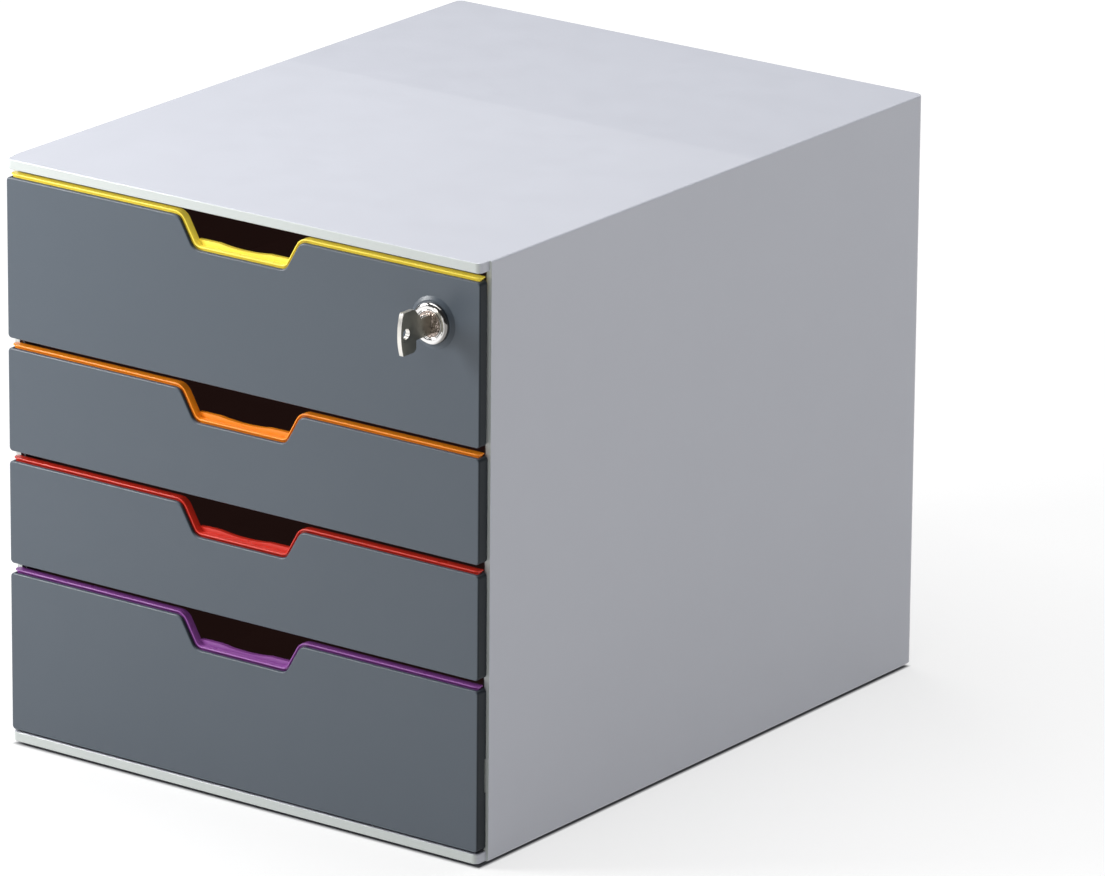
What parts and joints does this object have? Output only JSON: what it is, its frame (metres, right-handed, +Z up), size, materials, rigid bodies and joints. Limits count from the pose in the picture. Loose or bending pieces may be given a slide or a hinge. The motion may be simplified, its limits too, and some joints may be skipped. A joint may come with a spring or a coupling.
{
  "type": "desktop file drawer",
  "caption": "Desktop drawer box: light grey moulded case, dark slide-out drawers with coloured finger cut-outs, and a key lock in the top drawer's front.",
  "frame": {"origin": "middle of the box's footprint on the desk, under the rim of its base", "axes": "+X to the right as seen from the front, +Y to the back, +Z up; the drawers slide out towards -Y"},
  "size_m": [0.28, 0.3815, 0.292],
  "materials": {
    "case_grey": "fine satin moulding",
    "front_charcoal": "satin moulding",
    "tray_black": "satin moulding",
    "inlay_yellow": "semi-gloss moulding",
    "inlay_orange": "semi-gloss moulding",
    "inlay_red": "semi-gloss moulding",
    "inlay_purple": "semi-gloss moulding",
    "runner_grey": "smooth moulding",
    "foot_rubber": "matt",
    "screw_steel": "zinc plated",
    "lock_chrome": "polished",
    "plug_nickel": "fine turned",
    "wafer_brass": "stamped",
    "lock_steel": "zinc plated",
    "key_steel": "nickel plated, bright edges"
  },
  "bodies": {
    "housing": {"case_shell": "case_grey", "back_panel": "case_grey", "back_panel_screws": "screw_steel", "foot_front_left": "foot_rubber", "foot_front_right": "foot_rubber", "foot_rear_left": "foot_rubber", "foot_rear_right": "foot_rubber", "left_runner_frame": "runner_grey", "right_runner_frame": "runner_grey", "lock_keeper": "lock_steel"},
    "bottom_drawer": {"bottom_drawer_tray": "tray_black", "bottom_drawer_front": "front_charcoal", "bottom_drawer_inlay": "inlay_purple", "bottom_drawer_screws": "screw_steel"},
    "third_drawer": {"third_drawer_tray": "tray_black", "third_drawer_front": "front_charcoal", "third_drawer_inlay": "inlay_red", "third_drawer_screws": "screw_steel"},
    "second_drawer": {"second_drawer_tray": "tray_black", "second_drawer_front": "front_charcoal", "second_drawer_inlay": "inlay_orange", "second_drawer_screws": "screw_steel"},
    "top_drawer": {"top_drawer_tray": "tray_black", "top_drawer_front": "front_charcoal", "top_drawer_inlay": "inlay_yellow", "top_drawer_screws": "screw_steel", "lock_barrel": "lock_chrome", "lock_nut": "lock_steel"},
    "lock_cylinder": {"lock_plug": "plug_nickel", "lock_wafers": "wafer_brass", "lock_cam": "lock_steel", "lock_cam_screw": "screw_steel"},
    "key": {"key": "key_steel"}
  },
  "joints": [
    {"name": "bottom_drawer_slide", "type": "slide", "parent": "housing", "child": "bottom_drawer", "axis": [0, -1, 0], "range_m": [0, 0.25]},
    {"name": "third_drawer_slide", "type": "slide", "parent": "housing", "child": "third_drawer", "axis": [0, -1, 0], "range_m": [0, 0.25]},
    {"name": "second_drawer_slide", "type": "slide", "parent": "housing", "child": "second_drawer", "axis": [0, -1, 0], "range_m": [0, 0.25]},
    {"name": "top_drawer_slide", "type": "slide", "parent": "housing", "child": "top_drawer", "axis": [0, -1, 0], "range_m": [0, 0.25]},
    {"name": "lock_turn", "type": "hinge", "parent": "top_drawer", "child": "lock_cylinder", "pos_m": [0.1122, -0.17, 0.2594], "axis": [0, 1, 0], "range_deg": [0, 90]},
    {"name": "key_slide", "type": "slide", "parent": "lock_cylinder", "child": "key", "axis": [0, -1, 0], "range_m": [0, 0.02]}
  ]
}
